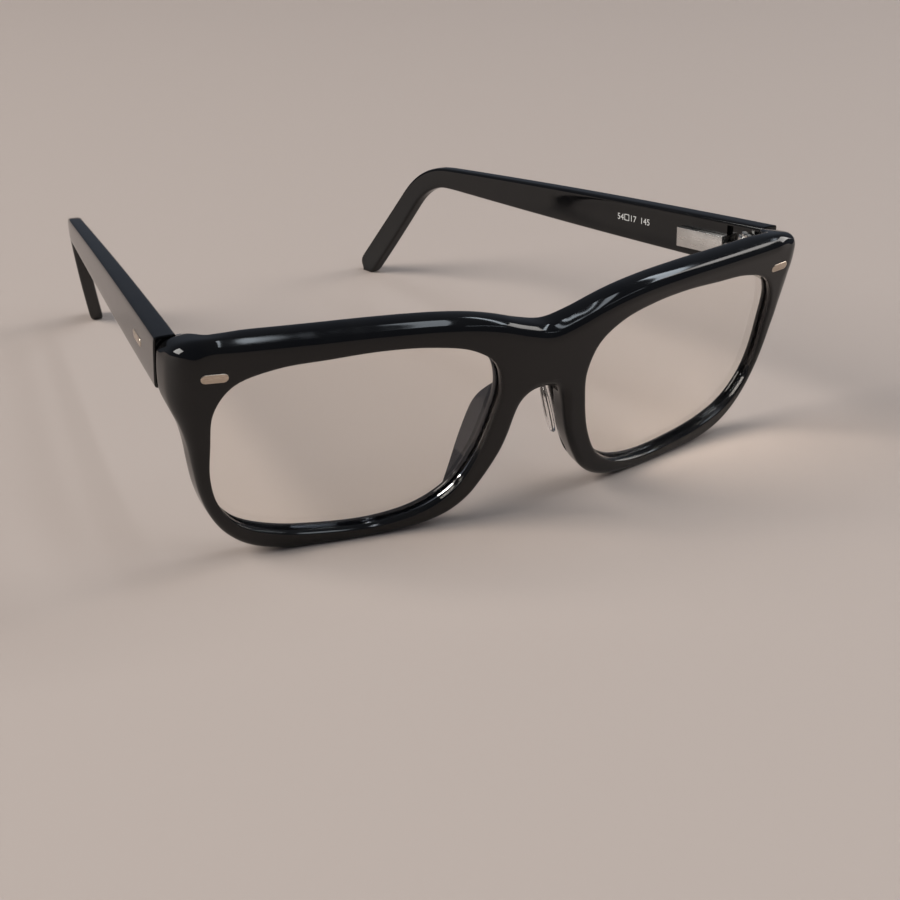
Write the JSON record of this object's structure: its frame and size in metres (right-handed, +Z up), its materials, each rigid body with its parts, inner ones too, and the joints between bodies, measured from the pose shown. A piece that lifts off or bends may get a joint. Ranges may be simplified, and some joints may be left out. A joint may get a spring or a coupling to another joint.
{
  "type": "blue light glasses",
  "caption": "Full-rim glasses with a thick glossy front, clear blue-light filtering lenses, soft nose pads and sprung hinges, standing open on the rims and temple tips.",
  "frame": {"origin": "centre of the footprint of the open glasses, on the surface they stand on", "axes": "+X to the wearer's left, +Y from the front of the frame back towards the ears, +Z up; the front leans back 10.17 degrees as it stands"},
  "size_m": [0.1362, 0.1452, 0.0448],
  "materials": {
    "acetate": "polished",
    "lens": "clear with a faint warm tint and a thin anti-reflection coating",
    "satin_steel": "satin",
    "champagne": "satin champagne plating",
    "spring_steel": "bright",
    "silicone": "clear, satin"
  },
  "bodies": {
    "front": {"front_frame": "acetate", "lens_left": "lens", "nose_pad_left": "acetate", "nose_cushion_left": "silicone", "front_hinge_left": "satin_steel", "front_inlay_left": "champagne", "lens_right": "lens", "nose_pad_right": "acetate", "nose_cushion_right": "silicone", "front_hinge_right": "satin_steel", "front_inlay_right": "champagne"},
    "left_screw": {"hinge_screw_left": "satin_steel"},
    "left_slider": {"hinge_slider_left": "satin_steel", "spring_stop_left": "satin_steel"},
    "left_temple": {"temple_left": "acetate", "core_wire_left": "spring_steel", "spring_housing_left": "satin_steel", "flex_spring_left": "spring_steel", "temple_inlay_left": "champagne"},
    "right_screw": {"hinge_screw_right": "satin_steel"},
    "right_slider": {"hinge_slider_right": "satin_steel", "spring_stop_right": "satin_steel"},
    "right_temple": {"temple_right": "acetate", "core_wire_right": "spring_steel", "spring_housing_right": "satin_steel", "flex_spring_right": "spring_steel", "temple_inlay_right": "champagne"}
  },
  "joints": [
    {"name": "left_flex", "type": "hinge", "parent": "front", "child": "left_screw", "pos_m": [0.0622, -0.05108, 0.0378], "axis": [0.0301, -0.174, 0.9843], "range_deg": [-10, 0], "stiffness_Nm_per_rad": 0.08},
    {"name": "left_fold", "type": "hinge", "parent": "left_screw", "child": "left_slider", "pos_m": [0.0622, -0.05108, 0.0378], "axis": [0.0301, -0.174, 0.9843], "range_deg": [0, 84]},
    {"name": "left_spring_slide", "type": "slide", "parent": "left_slider", "child": "left_temple", "axis": [-0.1699, 0.9824, -0.0774], "range_m": [0, 0.001], "deforming": ["flex_spring_left"]},
    {"name": "right_flex", "type": "hinge", "parent": "front", "child": "right_screw", "pos_m": [-0.0622, -0.05108, 0.0378], "axis": [0.0301, 0.174, -0.9843], "range_deg": [-10, 0], "stiffness_Nm_per_rad": 0.08},
    {"name": "right_fold", "type": "hinge", "parent": "right_screw", "child": "right_slider", "pos_m": [-0.0622, -0.05108, 0.0378], "axis": [0.0301, 0.174, -0.9843], "range_deg": [0, 65]},
    {"name": "right_spring_slide", "type": "slide", "parent": "right_slider", "child": "right_temple", "axis": [0.1699, 0.9824, -0.0774], "range_m": [0, 0.001], "deforming": ["flex_spring_right"]}
  ],
  "couplings": [
    {"joint": "left_spring_slide", "follows": "left_flex", "m_per_rad": -0.0052},
    {"joint": "right_spring_slide", "follows": "right_flex", "m_per_rad": -0.0052}
  ]
}
